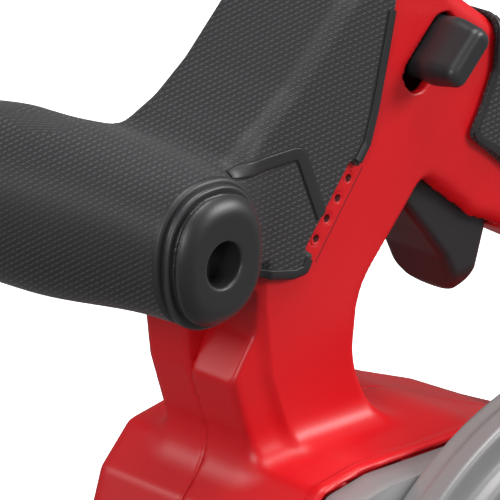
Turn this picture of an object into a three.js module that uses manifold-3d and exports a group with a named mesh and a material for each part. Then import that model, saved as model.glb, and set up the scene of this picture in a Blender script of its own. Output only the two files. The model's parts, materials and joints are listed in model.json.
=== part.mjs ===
// A cordless circular saw with its blade on the left of the motor, standing on its shoe with the
// blade drawn up. Millimetres. X runs to the rear, -Y to the blade side and Z up. The origin is on
// the shoe's underside, level with the arbor and on the plane where the two handle shells meet.
import * as THREE from "three";
import { mergeVertices } from "three/addons/utils/BufferGeometryUtils.js";
import Module from "manifold-3d";

const wasm = await Module();
wasm.setup();

// ---- Driving dimensions -------------------------------------------------------------------------
const BLADE_R = 82.5; // a 165 mm blade
const GUARD_R = 92.5; // outside of the fixed upper guard
const LOWER_GUARD_R = 89; // outside of the swinging lower guard
const GROUND_GAP = 4; // the lower guard's clearance above the floor
const ARBOR = { x: 0, z: LOWER_GUARD_R + GROUND_GAP };
const MODULE = 1; // gear tooth size
const PINION_TEETH = 10;
const WHEEL_TEETH = 32;
const GEAR_CENTRES = (MODULE * (PINION_TEETH + WHEEL_TEETH)) / 2;
const MOTOR_ANGLE = THREE.MathUtils.degToRad(149); // direction from the arbor to the motor's axis
const MOTOR = {
  x: ARBOR.x + GEAR_CENTRES * Math.cos(MOTOR_ANGLE),
  z: ARBOR.z + GEAR_CENTRES * Math.sin(MOTOR_ANGLE),
};
const WALL = 2.5; // moulded shell wall
const GAP = 0.3; // between touching pieces
const HANDLE_HALF = 18; // half the handle's width
const SKIN = 1.6; // how far the soft grips stand proud of the shells
const BODY_NEAR = -40; // Y of the body shell's edge towards the blade
const BODY_FAR = 30; // Y of its edge on the motor side
const GEAR_CASE_FACE = -49.7;
const BLADE_Y = -56;
const GUARD = { far: -50, rim: -62, face: -66, faceR: 80, wall: 1.5 };
const GRIP = { x: -108, z: 237, near: -32, far: 58 }; // the cross grip at the front
const SLOPE = THREE.MathUtils.degToRad(37); // the rear handle falls this steeply
const PIVOT = { y: BLADE_Y, z: 8 }; // the bevel's hinge line, along X
const SHOE = { front: -140, rear: 120, near: -92, far: 50, thick: 3 };
const BATTERY = { front: 52, rear: 162, half: 37.5, low: 70, high: 118 };

// ---- Materials ----------------------------------------------------------------------------------
const finish = (color, roughness, metalness = 0) =>
  new THREE.MeshStandardMaterial({ color, roughness, metalness });
const RED = finish("#d01420", 0.4);
const BLACK = finish("#2b2b2d", 0.5);
const RUBBER = finish("#333335", 0.75);
const CASTING = finish("#8c8a8b", 0.45, 0.5);
const STEEL = finish("#b9bbbe", 0.3, 1);
const DARK_STEEL = finish("#55575a", 0.4, 1);
const COPPER = finish("#a8683a", 0.4, 1);
const BOARD = finish("#1d4d2c", 0.6);
const LENS = finish("#e8eef2", 0.1);

// ---- Shape helpers ------------------------------------------------------------------------------
const saw = new THREE.Group();

function solid(geometry) {
  const bare = geometry.index ? geometry.toNonIndexed() : geometry.clone();
  for (const name of Object.keys(bare.attributes)) if (name !== "position") bare.deleteAttribute(name);
  const merged = mergeVertices(bare, 1e-4);
  const made = (order) =>
    new wasm.Manifold(
      new wasm.Mesh({ numProp: 3, vertProperties: merged.attributes.position.array, triVerts: order }),
    );
  const order = new Uint32Array(merged.index.array);
  const first = made(order);
  if (first.volume() > 0) return first;
  for (let i = 0; i < order.length; i += 3) [order[i + 1], order[i + 2]] = [order[i + 2], order[i + 1]];
  return made(order);
}

function geometryOf(shape) {
  const mesh = shape.getMesh();
  const geometry = new THREE.BufferGeometry();
  geometry.setAttribute("position", new THREE.BufferAttribute(mesh.vertProperties, 3));
  geometry.setIndex(new THREE.BufferAttribute(mesh.triVerts, 1));
  geometry.computeVertexNormals();
  return geometry;
}

function add(name, shape, material) {
  const mesh = new THREE.Mesh(geometryOf(shape), material);
  mesh.name = name;
  saw.add(mesh);
}

// A corner whose rounding would be shorter than this stays sharp.
const LEAST_ROUNDING = 0.5;

// A flat outline whose corners [x, z, radius] are rounded.
function rounded(corners) {
  const shape = new THREE.Shape();
  corners.forEach(([x, z, r = 0], i) => {
    const here = new THREE.Vector2(x, z);
    const before = new THREE.Vector2(...corners.at(i - 1)).sub(here);
    const after = new THREE.Vector2(...corners[(i + 1) % corners.length]).sub(here);
    const half = Math.abs(before.angleTo(after)) / 2;
    const reach = Math.min(r / Math.tan(half), 0.49 * before.length(), 0.49 * after.length());
    const isPlain = reach < LEAST_ROUNDING;
    const start = isPlain ? here : here.clone().add(before.setLength(reach));
    if (i === 0) shape.moveTo(start.x, start.y);
    else shape.lineTo(start.x, start.y);
    const end = here.clone().add(after.setLength(reach));
    if (!isPlain) shape.quadraticCurveTo(x, z, end.x, end.y);
  });
  shape.closePath();
  return shape;
}

// The same outline moved inwards by d, or outwards when d is negative.
function inset(corners, d) {
  const area = corners.reduce((sum, [x, z], i) => {
    const [u, w] = corners[(i + 1) % corners.length];
    return sum + x * w - u * z;
  }, 0);
  const side = Math.sign(area);
  return corners.map(([x, z, r = 0], i) => {
    const [px, pz] = corners.at(i - 1);
    const [nx, nz] = corners[(i + 1) % corners.length];
    const a = new THREE.Vector2(x - px, z - pz).normalize();
    const b = new THREE.Vector2(nx - x, nz - z).normalize();
    const turn = side * a.cross(b);
    const inward = new THREE.Vector2(-(a.y + b.y), a.x + b.x).multiplyScalar((side * d) / (1 + a.dot(b)));
    return [x + inward.x, z + inward.y, r && Math.max(r - Math.sign(turn) * d, 0.5)];
  });
}

// Prisms along Y, X and Z, a box, a round bar along Y, and a turned piece about a Y axis.
function alongY(corners, y0, y1, curveSegments = 4) {
  const shape = corners instanceof THREE.Shape ? corners : rounded(corners);
  const geometry = new THREE.ExtrudeGeometry(shape, { depth: y1 - y0, bevelEnabled: false, curveSegments });
  return solid(geometry.rotateX(Math.PI / 2).translate(0, y1, 0));
}

function alongX(corners, x0, x1, curveSegments = 4) {
  const shape = corners instanceof THREE.Shape ? corners : rounded(corners);
  const geometry = new THREE.ExtrudeGeometry(shape, { depth: x1 - x0, bevelEnabled: false, curveSegments });
  return solid(geometry.rotateX(Math.PI / 2).rotateZ(Math.PI / 2).translate(x0, 0, 0));
}

function alongZ(corners, z0, z1, curveSegments = 4) {
  const geometry = new THREE.ExtrudeGeometry(rounded(corners), {
    depth: z1 - z0,
    bevelEnabled: false,
    curveSegments,
  });
  return solid(geometry.translate(0, 0, z0));
}

function box(x0, x1, y0, y1, z0, z1) {
  const geometry = new THREE.BoxGeometry(x1 - x0, y1 - y0, z1 - z0);
  return solid(geometry.translate((x0 + x1) / 2, (y0 + y1) / 2, (z0 + z1) / 2));
}

function bar(r, y0, y1, at, segments = 24) {
  const geometry = new THREE.CylinderGeometry(r, r, y1 - y0, segments);
  return solid(geometry.translate(at.x, (y0 + y1) / 2, at.z));
}

function turned(profile, at, segments = 32) {
  const points = profile.map(([r, y]) => new THREE.Vector2(r, y));
  return solid(new THREE.LatheGeometry([...points, points[0]], segments).translate(at.x, 0, at.z));
}

const ring = (outer, inner, y0, y1, at, segments) =>
  bar(outer, y0, y1, at, segments).subtract(bar(inner, y0 - 1, y1 + 1, at, segments));
const barX = (r, x0, x1, y, z, segments = 20) =>
  solid(new THREE.CylinderGeometry(r, r, x1 - x0, segments).rotateZ(Math.PI / 2).translate((x0 + x1) / 2, y, z));
const barZ = (r, z0, z1, x, y, segments = 20) =>
  solid(new THREE.CylinderGeometry(r, r, z1 - z0, segments).rotateX(Math.PI / 2).translate(x, y, (z0 + z1) / 2));
const polar = (r, angle, at = { x: 0, z: 0 }) => [at.x + r * Math.cos(angle), at.z + r * Math.sin(angle)];
const deg = THREE.MathUtils.degToRad;
const joined = (...shapes) => shapes.reduce((a, b) => a.add(b));

// A flat spiral spring: round wire wound outwards from radius r0 to r1 about a line along Y.
function spiral(r0, r1, wire, turns, y, at) {
  class Wound extends THREE.Curve {
    getPoint(t, target = new THREE.Vector3()) {
      const [x, z] = polar(r0 + (r1 - r0) * t, 2 * Math.PI * turns * t, at);
      return target.set(x, y, z);
    }
  }
  const section = new THREE.Shape().absarc(0, 0, wire, 0, 2 * Math.PI);
  return solid(
    new THREE.ExtrudeGeometry(section, { extrudePath: new Wound(), steps: Math.round(turns * 16), curveSegments: 4 }),
  );
}

// ---- Side outlines of the body and the handle, as [x, z, corner radius] ---------------------------
const bodyOutline = [
  [-88, 147, 8],
  [-86, 156.5, 5],
  [-76, 167, 6],
  [-62, 169, 12],
  [-16, 167, 30],
  [8, 156, 8],
  [47, 138, 4],
  [62, 131, 4],
  [62, 124, 4],
  [42, 116, 6],
  [38, 84, 12],
  [20, 68, 14],
  [-44, 68, 16],
  [-82, 92, 20],
];
const handleOutline = [
  [-70, 150, 0],
  [-83, 190, 4],
  [-85, 209, 3],
  [-84, 219, 0],
  [-83, 252, 10],
  [-66, 264, 14],
  [-44, 285, 20],
  [-22, 288, 26],
  [84, 208, 34],
  [112, 176, 16],
  [138, 168, 8],
  [140, 134.3, 3],
  [50, 134.3, 0],
  [30, 128, 0],
];
const openingOutline = [
  [-30, 158, 0],
  [-42, 184, 16],
  [-40.5, 206, 14],
  [-17, 229, 5],
  [7, 209.5, 4],
  [38, 192.5, 10],
  [60, 180, 16],
  [66, 154, 14],
  [58, 126, 0],
];

const footOutline = [
  [74, 134.3, 1],
  [142, 134.3, 2],
  [142, 146, 6],
  [126, 149, 6],
  [74, 146, 6],
];
const FOOT_HALF = 34;

const bodyBlock = (near, far, d = 0) => alongY(inset(bodyOutline, d), near, far, 5);
const handleBlock = (near, far, d = 0) =>
  alongY(inset(handleOutline, d), near, far, 5).subtract(
    alongY(inset(openingOutline, -d), near - 1, far + 1, 5).subtract(bodyBlock(near - 2, far + 2, d)),
  );

// ---- Trigger and lock-off outlines, shared by the pieces and by the holes they move in ------------
const triggerOutline = [
  [-21, 232, 2],
  [-18, 219, 3],
  [-10, 205, 8],
  [-3, 193, 5],
  [7, 188, 5],
  [13, 193, 4],
  [13.5, 206, 3],
  [12, 226, 2],
  [-8, 242, 4],
  [-21, 242, 5],
];
const TRIGGER = { half: 11.5, pin: { x: -15, z: 236 } };
const LOCK = { x: -14.5, z: 263, long: 18, thick: 9.5, angle: deg(43), reach: 31, travel: 3 };

// The space that the trigger sweeps as it is pulled.
function triggerRoom() {
  const { x, z } = TRIGGER.pin;
  const loose = alongY(inset(triggerOutline, -1.3), -TRIGGER.half - 0.6, TRIGGER.half + 0.6);
  const turns = [0, 3, 6, 9].map((turn) => loose.translate([-x, 0, -z]).rotate([0, -turn, 0]).translate([x, 0, z]));
  return joined(...turns);
}

function lockShape(long, thick, half) {
  const slab = [
    [-long / 2, -thick / 2, 3.4],
    [long / 2, -thick / 2, 3.4],
    [long / 2, thick / 2, 3.4],
    [-long / 2, thick / 2, 3.4],
  ].map(([x, z, r]) => {
    const at = new THREE.Vector2(x, z).rotateAround(new THREE.Vector2(), LOCK.angle);
    return [LOCK.x + at.x, LOCK.z + at.y, r];
  });
  return alongY(slab, -half, half);
}

// ---- Housing shells -------------------------------------------------------------------------------
const shellScrews = [
  { x: -62, z: 196 },
  { x: 64, z: 200 },
  { x: 104, z: 158 },
];
const LAMP = { y: -24, z: 114 };
const SCREW = { head: 3.2, shank: 1.8 };

function shellHalf(side) {
  const y = (v) => (side < 0 ? [v, -GAP / 2] : [GAP / 2, v]);
  const handleY = y(side * HANDLE_HALF);
  const bodyY = y(side < 0 ? BODY_NEAR : BODY_FAR);
  const inside = (v, near, far) => (side < 0 ? [v + near, far] : [-far, v - near]);
  const foot = alongY(footOutline, ...y(side * FOOT_HALF));
  let shell = joined(handleBlock(...handleY), bodyBlock(...bodyY), foot);
  // The hollow inside: the handle's duct, and the body's room for the motor and the gears.
  shell = shell.subtract(handleBlock(...inside(handleY[side < 0 ? 0 : 1], WALL, 1), WALL));
  const bodyEdge = side < 0 ? [BODY_NEAR - 1, 1] : [-1, BODY_FAR - WALL];
  shell = shell.subtract(bodyBlock(...bodyEdge, WALL));
  // Room for the trigger, the lock-off lever and the screws.
  shell = shell.subtract(triggerRoom());
  shell = shell.subtract(lockShape(LOCK.long + 8, LOCK.thick + 1.4, HANDLE_HALF + 2));
  if (side < 0) shell = shell.subtract(barX(5, -95, -70, LAMP.y, LAMP.z));
  for (const at of shellScrews) {
    shell = shell.add(bar(5, ...y(side * 16), at, 16));
    shell = shell.subtract(bar(SCREW.shank + GAP, -12, 20, at, 12));
    if (side > 0) shell = shell.subtract(bar(SCREW.head + GAP, 13, 20, at, 16));
  }
  return shell;
}

const MOTOR_TUBE = { r: 38.5, far: 60 };
add("left_shell", shellHalf(-1), RED);

function rightShell() {
  const tube = bar(MOTOR_TUBE.r, BODY_FAR - WALL, MOTOR_TUBE.far, MOTOR, 36);
  const bore = bar(MOTOR_TUBE.r - WALL, BODY_FAR - 6, MOTOR_TUBE.far + 1, MOTOR, 36);
  add("right_shell", shellHalf(1).add(tube).subtract(bore), RED);
}
rightShell();

shellScrews.forEach((at, i) => {
  const head = bar(SCREW.head, 13.4, 17, at, 16).subtract(bar(1.3, 15, 18, at, 6));
  add(`shell_screw_${i + 1}`, head.add(bar(SCREW.shank, -11, 14, at, 12)), DARK_STEEL);
});

// ---- Soft grips -----------------------------------------------------------------------------------
// The front grip is a bar across the saw that runs back over the front and top of the handle.
const frontGripSide = [
  [-84.5, 219, 4],
  [-78, 217, 3],
  [-66, 215, 3],
  [-58.5, 216.5, 2],
  [-61, 221, 0],
  [-44.5, 240.5, 0],
  [-41.5, 238, 1],
  [-37.7, 244.5, 2],
  [-32, 264, 2],
  [-28.5, 279, 4],
  [-30, 292, 2],
  [-46, 289, 18],
  [-68, 267, 14],
  [-86, 259, 10],
  [-108, 257, 10],
  [-108, 224, 0],
];
const notOnShell = (shape) =>
  shape.subtract(
    alongY(inset(handleOutline, -GAP), -HANDLE_HALF - GAP, HANDLE_HALF + GAP, 5).subtract(
      alongY(inset(openingOutline, GAP), -HANDLE_HALF - 2, HANDLE_HALF + 2, 5),
    ),
  );

function frontGrip() {
  const half = HANDLE_HALF + SKIN;
  const cross = turned(
    [
      [0, GRIP.near],
      [17, GRIP.near],
      [18.2, GRIP.near + 4],
      [20, -12],
      [21.4, 12],
      [21.6, 34],
      [20.5, 48],
      [18.4, GRIP.far],
      [0, GRIP.far],
    ],
    GRIP,
    28,
  );
  const core = turned(
    [
      [0, GRIP.near - 1],
      [7, GRIP.near - 1],
      [7, GRIP.far + 1],
      [0, GRIP.far + 1],
    ],
    GRIP,
    16,
  );
  const wrap = alongY(frontGripSide, -half, half, 4);
  add("front_grip", notOnShell(cross.add(wrap)).subtract(core), RUBBER);
}
frontGrip();

const CAP_HOLE_R = 5.75;
const capOutline = [
  [-16.6, -12, 14],
  [0, -19.2, 16],
  [16.4, -12, 14],
  [16.4, 11, 14],
  [0, 19.2, 16],
  [-16.6, 12, 14],
].map(([x, z, r]) => [GRIP.x + x, GRIP.z + z, r]);

function gripCaps() {
  const rim = alongY(capOutline, GRIP.near - 5, GRIP.near - GAP, 4);
  const face = alongY(inset(capOutline, 3), GRIP.near - 7, GRIP.near - 4.5, 4);
  const stem = ring(6.6, 4.4, GRIP.near - 2, GRIP.near + 16, GRIP, 16);
  const hole = joined(
    bar(CAP_HOLE_R - 1.2, GRIP.near - 9, GRIP.near + 14, GRIP, 20),
    bar(CAP_HOLE_R, GRIP.near - 9, GRIP.near - 3, GRIP, 20),
  );
  add("grip_cap_left", joined(rim, face, stem).subtract(hole), BLACK);
  const farCap = turned(
    [
      [0, GRIP.far + GAP],
      [18, GRIP.far + GAP],
      [17, GRIP.far + 3.5],
      [12, GRIP.far + 6],
      [0, GRIP.far + 7],
    ],
    GRIP,
    28,
  );
  add("grip_cap_right", farCap.add(bar(6.4, GRIP.far - 14, GRIP.far + 1, GRIP, 16)), BLACK);
  const screwHead = bar(4.1, GRIP.near + 14.4, GRIP.near + 17.6, GRIP, 16);
  const screwShank = bar(2.2, GRIP.near + 17, GRIP.far - 16, GRIP, 12);
  add("grip_screw", screwHead.add(screwShank), DARK_STEEL);
}
gripCaps();

const rearGripSide = [
  [-1.3, 236, 4],
  [7, 250, 3],
  [8.2, 270, 3],
  [12, 268, 0],
  [86, 212, 36],
  [112, 180, 10],
  [96, 172, 8],
  [64, 186, 12],
];
add("rear_grip", notOnShell(alongY(rearGripSide, -HANDLE_HALF - SKIN, HANDLE_HALF + SKIN, 4)), RUBBER);

// ---- Trigger, lock-off lever and switch -------------------------------------------------------------

function triggerAndSwitch() {
  const pinHole = bar(2.3, -20, 20, TRIGGER.pin, 16);
  add("trigger", alongY(triggerOutline, -TRIGGER.half, TRIGGER.half).subtract(pinHole), BLACK);
  add("trigger_pin", bar(2, -15, 15, TRIGGER.pin, 16), STEEL);
  add("lock_off_lever", lockShape(LOCK.long, LOCK.thick, LOCK.reach), BLACK);
  const place = (shape) =>
    shape.rotate([0, THREE.MathUtils.radToDeg(SLOPE), 0]).translate([30, 0, 226]);
  add("switch_box", place(box(-11, 18, -9, 9, -9, 9)), BLACK);
  add("switch_plunger", place(box(-15.5, -11.3, -3, 3, -4, 2)), COPPER);
}
triggerAndSwitch();

// ---- Gear case, bearings and gear train --------------------------------------------------------------
const BOSS_R = 18.6; // the round boss the lower guard turns on
const LOCK_BUTTON = { y: -43.5, z: 119 };
const FRONT_POST = { x0: -102, x1: -97, y0: -46.5, y1: -35 };
const REAR_POST = { x0: 96, x1: 108, y0: -47.2, y1: -42.2 };
const DEPTH_BOLT = { x: 102, z: 88 };

function gearCase() {
  const plate = bodyBlock(GEAR_CASE_FACE, -46.5, 1);
  const wall = bodyBlock(-47, BODY_NEAR - GAP, 1).subtract(bodyBlock(-48, BODY_NEAR + 1, 1 + WALL));
  const boss = bar(BOSS_R, -54.6, -41, ARBOR, 32);
  const bores = joined(
    bar(14.2, -49.9, -40, ARBOR, 32), // bearing seat
    bar(11, -52, -49, ARBOR, 24),
    bar(17.2, -56, -50.9, ARBOR, 32), // room for the inner flange
  );
  const { x0, x1, y0, y1 } = FRONT_POST;
  const frontArm = joined(
    box(x1 + GAP, -84, y0 - 3, y1 + 3, 76, 104),
    box(-86, -60, y0 - 3, BODY_NEAR - GAP, 92, 104),
    box(x0, x1 + 2, y0 - 3, y0 - GAP, 76, 104),
    box(x0, x1 + 2, y1 + GAP, y1 + 3, 76, 104),
  );
  const rearArm = alongY([[30, 76, 0], [112, 76, 6], [112, 104, 6], [30, 112, 0]], GEAR_CASE_FACE, -47.6);
  const holes = bar(3.3, -52, -46, DEPTH_BOLT, 16).add(barX(2.3, -100, -60, LOCK_BUTTON.y, LOCK_BUTTON.z, 14));
  add("gear_case", joined(plate, wall, boss, frontArm, rearArm).subtract(bores).subtract(holes), CASTING);
  const button = barX(5.5, -93, -88, LOCK_BUTTON.y, LOCK_BUTTON.z, 20);
  const stem = barX(2, -89, -20, LOCK_BUTTON.y, LOCK_BUTTON.z, 12);
  add("spindle_lock_button", button.add(stem), BLACK);
}
gearCase();

// A spur gear's outline: involute flanks, with the tooth thinned so that the pair runs free.
function gearShape(teeth, addendum, dedendum, bore, phase) {
  const pitch = (MODULE * teeth) / 2;
  const base = pitch * Math.cos(deg(20));
  const tip = pitch + addendum;
  const root = pitch - dedendum;
  const involute = (r) => {
    const t = Math.sqrt(Math.max((r / base) ** 2 - 1, 0));
    return t - Math.atan(t);
  };
  const halfTooth = Math.PI / (2 * teeth) - 0.07 / pitch + involute(pitch);
  const radii = [Math.max(base, root), (base + pitch) / 2, pitch, (pitch + tip) / 2, tip].filter((r) => r >= root);
  const shape = new THREE.Shape();
  for (let i = 0; i < teeth; i++) {
    const middle = phase + (2 * Math.PI * i) / teeth;
    const flank = radii.map((r) => [r, halfTooth - involute(r)]);
    const rootHalf = flank[0][1];
    const points = [
      [root, -rootHalf],
      ...flank.map(([r, a]) => [r, -a]),
      ...flank.toReversed().map(([r, a]) => [r, a]),
      [root, rootHalf],
    ];
    points.forEach(([r, a], k) => {
      const [x, z] = polar(r, middle + a);
      if (i === 0 && k === 0) shape.moveTo(x, z);
      else shape.lineTo(x, z);
    });
  }
  shape.closePath();
  shape.holes.push(new THREE.Path().absarc(0, 0, bore, 0, 2 * Math.PI, true));
  return shape;
}
const GEAR_Y = { near: -39, far: -29 };

function gearPair() {
  // A wheel tooth points at the motor and a pinion gap faces the arbor.
  const wheel = gearShape(WHEEL_TEETH, 0.75 * MODULE, 1.3 * MODULE, 8.3, MOTOR_ANGLE);
  const pinionTurn = MOTOR_ANGLE + Math.PI + Math.PI / PINION_TEETH;
  const pinion = gearShape(PINION_TEETH, 0.95 * MODULE, 1.15 * MODULE, 2.6, pinionTurn);
  add("driven_gear", alongY(wheel, GEAR_Y.near, GEAR_Y.far, 10).translate([ARBOR.x, 0, ARBOR.z]), STEEL);
  add("pinion", alongY(pinion, GEAR_Y.near - 0.5, GEAR_Y.far + 0.5, 8).translate([MOTOR.x, 0, MOTOR.z]), STEEL);
}
gearPair();

function bearingPlate() {
  const plate = alongY(inset(bodyOutline, WALL + 0.6), -26, -22.5, 4);
  const seats = joined(ring(12, 9.8, -26, -18, ARBOR, 24), ring(10.4, 8.3, -26, -17, MOTOR, 24));
  const holes = joined(bar(9.8, -27, -17, ARBOR, 24), bar(8.3, -27, -16, MOTOR, 24));
  add("bearing_plate", plate.add(seats).subtract(holes), CASTING);
}
bearingPlate();

add("spindle_bearing_front", ring(13.9, 8.3, -49.8, -41.2, ARBOR, 28), STEEL);
add("spindle_bearing_rear", ring(9.5, 5.3, -25.6, -19.4, ARBOR, 24), STEEL);
add("motor_bearing_front", ring(8, 4.3, -25.6, -20, MOTOR, 24), STEEL);
add("motor_bearing_rear", ring(8, 4.3, 62, 67, MOTOR, 24), STEEL);

// ---- Motor ------------------------------------------------------------------------------------------

function motorParts() {
  const slots = Array.from({ length: 6 }, (_, i) => {
    const [x, z] = polar(19, (i * Math.PI) / 3, MOTOR);
    return bar(3.2, -2, 42, { x, z }, 10);
  });
  add("motor_stator", ring(30, 14.8, 2, 38, MOTOR, 36).subtract(joined(...slots)), COPPER);
  add("motor_rotor", ring(14, 4.3, 0, 40, MOTOR, 24), DARK_STEEL);
  const shaft = joined(bar(4, -26.8, 68, MOTOR, 20), bar(2.3, -40, -26, MOTOR, 16));
  add("motor_shaft", shaft, STEEL);
  const blades = Array.from({ length: 12 }, (_, i) => {
    const vane = box(9, 27, -15, -5.5, -0.9, 0.9).rotate([0, i * 30, 0]);
    return vane.translate([MOTOR.x, 0, MOTOR.z]);
  });
  add("cooling_fan", joined(ring(28, 4.3, -5.6, -4, MOTOR, 28), ring(10, 4.3, -15, -4, MOTOR, 20), ...blades), BLACK);
  add("control_board", box(-80, -52, -18, 20, 100, 103), BOARD);
}
motorParts();

function motorEndCover() {
  const cup = turned(
    [
      [0, 60.3],
      [35.6, 60.3],
      [38.5, 60.3],
      [38.5, 66],
      [35, 71],
      [26, 74],
      [0, 75],
    ],
    MOTOR,
    36,
  );
  const room = turned(
    [
      [0, 59],
      [35.8, 59],
      [35.8, 65.6],
      [33, 69],
      [25.5, 71.4],
      [0, 72.4],
    ],
    MOTOR,
    36,
  );
  const seatBore = bar(8.3, 60, 67.4, MOTOR, 24).add(bar(4.4, 66, 69, MOTOR, 24));
  const seat = bar(10.5, 61.6, 73, MOTOR, 24).subtract(seatBore);
  const vents = Array.from({ length: 12 }, (_, i) => {
    const slot = box(16, 31, 62.5, 80, -1.6, 1.6).rotate([0, i * 30 + 15, 0]);
    return slot.translate([MOTOR.x, 0, MOTOR.z]);
  });
  add("motor_end_cover", cup.subtract(room).add(seat).subtract(joined(...vents)), BLACK);
}
motorEndCover();

// ---- Spindle, flanges and blade ------------------------------------------------------------------------

function spindleAndFlanges() {
  const spindle = joined(
    bar(8, -50.6, GEAR_Y.far + 1, ARBOR, 24),
    bar(5, -29, -18, ARBOR, 20),
    bar(7.6, -59.5, -50, ARBOR, 24),
  ).subtract(bar(3.2, -61, -44, ARBOR, 16));
  add("spindle", spindle, STEEL);
  add("inner_flange", ring(16.5, 7.9, BLADE_Y + 0.9, -51.2, ARBOR, 28), DARK_STEEL);
  const cupped = ring(16.5, 8.4, -60, BLADE_Y - 0.9, ARBOR, 28);
  add("outer_flange", ring(16.5, 3.5, -62, -59.8, ARBOR, 28).add(cupped), DARK_STEEL);
  const head = bar(8, -66.5, -62.3, ARBOR, 6).subtract(bar(2.9, -67, -64, ARBOR, 6));
  add("blade_screw", head.add(bar(2.9, -63, -46, ARBOR, 16)), DARK_STEEL);
}
spindleAndFlanges();

function sawBlade() {
  const TEETH = 24;
  const GULLET = 9;
  const shape = new THREE.Shape();
  for (let i = 0; i < TEETH; i++) {
    const start = (2 * Math.PI * i) / TEETH;
    const step = (2 * Math.PI) / TEETH;
    const tooth = [
      [BLADE_R, 0],
      [BLADE_R - GULLET, -0.05],
      [BLADE_R - GULLET, 0.3],
      [BLADE_R - 4, 0.42],
      [BLADE_R - 1.2, 0.82],
    ];
    tooth.forEach(([r, share], k) => {
      const [x, z] = polar(r, start + share * step);
      if (i === 0 && k === 0) shape.moveTo(x, z);
      else shape.lineTo(x, z);
    });
  }
  shape.closePath();
  shape.holes.push(new THREE.Path().absarc(0, 0, 7.95, 0, 2 * Math.PI, true));
  const plate = alongY(shape, BLADE_Y - 0.6, BLADE_Y + 0.6, 10);
  add("saw_blade", plate.translate([ARBOR.x, 0, ARBOR.z]), STEEL);
}
sawBlade();

// ---- Guards ---------------------------------------------------------------------------------------------
const LEVER_R = 57.5; // where the lower guard's thumb lever stands on it
const LEVER_ANGLE = -4; // degrees about the arbor, at rest

function upperGuard() {
  const { far, rim, face, faceR, wall } = GUARD;
  const outer = turned([[0, far], [GUARD_R, far], [GUARD_R, rim], [faceR, face], [0, face]], ARBOR, 64);
  const room = turned(
    [
      [0, far - wall],
      [GUARD_R - 2, far - wall],
      [GUARD_R - 2, rim + 1.2],
      [faceR - 0.6, face + wall],
      [0, face + wall],
    ],
    ARBOR,
    64,
  );
  const below = box(-120, 120, -80, -40, -10, ARBOR.z - 7);
  const hub = bar(27.5, -80, -40, ARBOR, 32);
  // The lower guard's thumb lever runs in this curved slot.
  const [slotStart, slotEnd] = [deg(-14), deg(112)];
  const track = new THREE.Shape().absarc(0, 0, LEVER_R + 5, slotStart, slotEnd, false);
  track.absarc(0, 0, LEVER_R - 5, slotEnd, slotStart, true);
  const slot = alongY(track, -70, -62.2, 12).translate([ARBOR.x, 0, ARBOR.z]);
  add("upper_guard", outer.subtract(room).subtract(below).subtract(hub).subtract(slot), CASTING);
}
upperGuard();


function lowerGuard() {
  const sector = new THREE.Shape().absarc(0, 0, LOWER_GUARD_R, deg(-180), deg(0), false);
  const start = polar(LOWER_GUARD_R, deg(0));
  sector.lineTo(start[0], start[1]);
  const centre = { x: 0, z: 0 };
  const rimWall = alongY(sector, -60.4, -52.4, 24).subtract(bar(LOWER_GUARD_R - 1.5, -59.2, -53.6, centre, 64));
  const nearHole = bar(50, -62, -59, centre, 40);
  const hub = ring(25, 19, -53.6, -52.4, centre, 32);
  const farHole = bar(19, -55, -50, centre, 32);
  const [postX, postZ] = polar(LEVER_R, deg(LEVER_ANGLE));
  const post = bar(3.4, -67.5, -60, { x: postX, z: postZ }, 16);
  const guard = joined(rimWall.subtract(nearHole), hub, post).subtract(farHole);
  add("lower_guard", guard.translate([ARBOR.x, 0, ARBOR.z]), CASTING);
  const [x, z] = polar(LEVER_R, deg(LEVER_ANGLE), ARBOR);
  const tab = alongY(
    [[x - 5, z - 7, 4], [x + 34, z - 5, 4], [x + 34, z + 5, 4], [x - 5, z + 7, 4]],
    -72,
    -67.8,
  );
  add("guard_lever", tab, BLACK);
  add("guard_spring", spiral(20.2, 26, 0.7, 2.5, -51, ARBOR), STEEL);
}
lowerGuard();

// ---- Depth carriage: two posts that the body rides on, standing on a rail above the shoe ----------
const RAIL = { y0: -40.5, y1: -34, low: SHOE.thick + GAP, high: 6 };
const EAR = { front: -114.5, rear: 109, thick: 3 };
const SWING_R = 36; // from the bevel's hinge line to its clamp bolt
const [boltY, boltZ] = [PIVOT.y + SWING_R * Math.cos(deg(60)), PIVOT.z + SWING_R * Math.sin(deg(60))];

function depthCarriage() {
  const { low, high } = RAIL;
  add("front_post", box(FRONT_POST.x0, FRONT_POST.x1, FRONT_POST.y0, FRONT_POST.y1, high + GAP, 112), STEEL);
  const slot = alongY([[98.7, 18, 3], [105.3, 18, 3], [105.3, 95, 3], [98.7, 95, 3]], -50, -40);
  const post = box(REAR_POST.x0, REAR_POST.x1, REAR_POST.y0, REAR_POST.y1, high + GAP, 112);
  add("rear_post", post.subtract(slot), STEEL);
  const rail = box(EAR.front, EAR.rear + EAR.thick, RAIL.y0, RAIL.y1, low, high);
  const frontFoot = box(EAR.front, -96, -50, RAIL.y1, low, high);
  const rearFoot = box(95, EAR.rear + EAR.thick, -49, RAIL.y1, low, high);
  const frontPlate = alongX(
    [[PIVOT.y, low, 0], [-22, low, 0], [-22, 36, 10], [-34, 48, 10], [-46, 44, 8], [PIVOT.y, PIVOT.z + 4.6, 0]],
    EAR.front,
    EAR.front + EAR.thick,
  );
  const rearPlate = alongX(
    [[PIVOT.y, low, 0], [RAIL.y1, low, 0], [RAIL.y1, 9, 2], [PIVOT.y, PIVOT.z + 4.6, 0]],
    EAR.rear,
    EAR.rear + EAR.thick,
  );
  const knuckles = joined(
    ...[EAR.front, EAR.rear].map((x) => barX(4.6, x, x + EAR.thick, PIVOT.y, PIVOT.z, 24)),
  );
  const holes = barX(2.4, -120, 120, PIVOT.y, PIVOT.z, 16).add(barX(3.3, -120, -110, boltY, boltZ, 16));
  const rails = joined(rail, frontFoot, rearFoot, frontPlate, rearPlate, knuckles);
  add("carriage_rail", rails.subtract(holes), CASTING);
}
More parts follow.
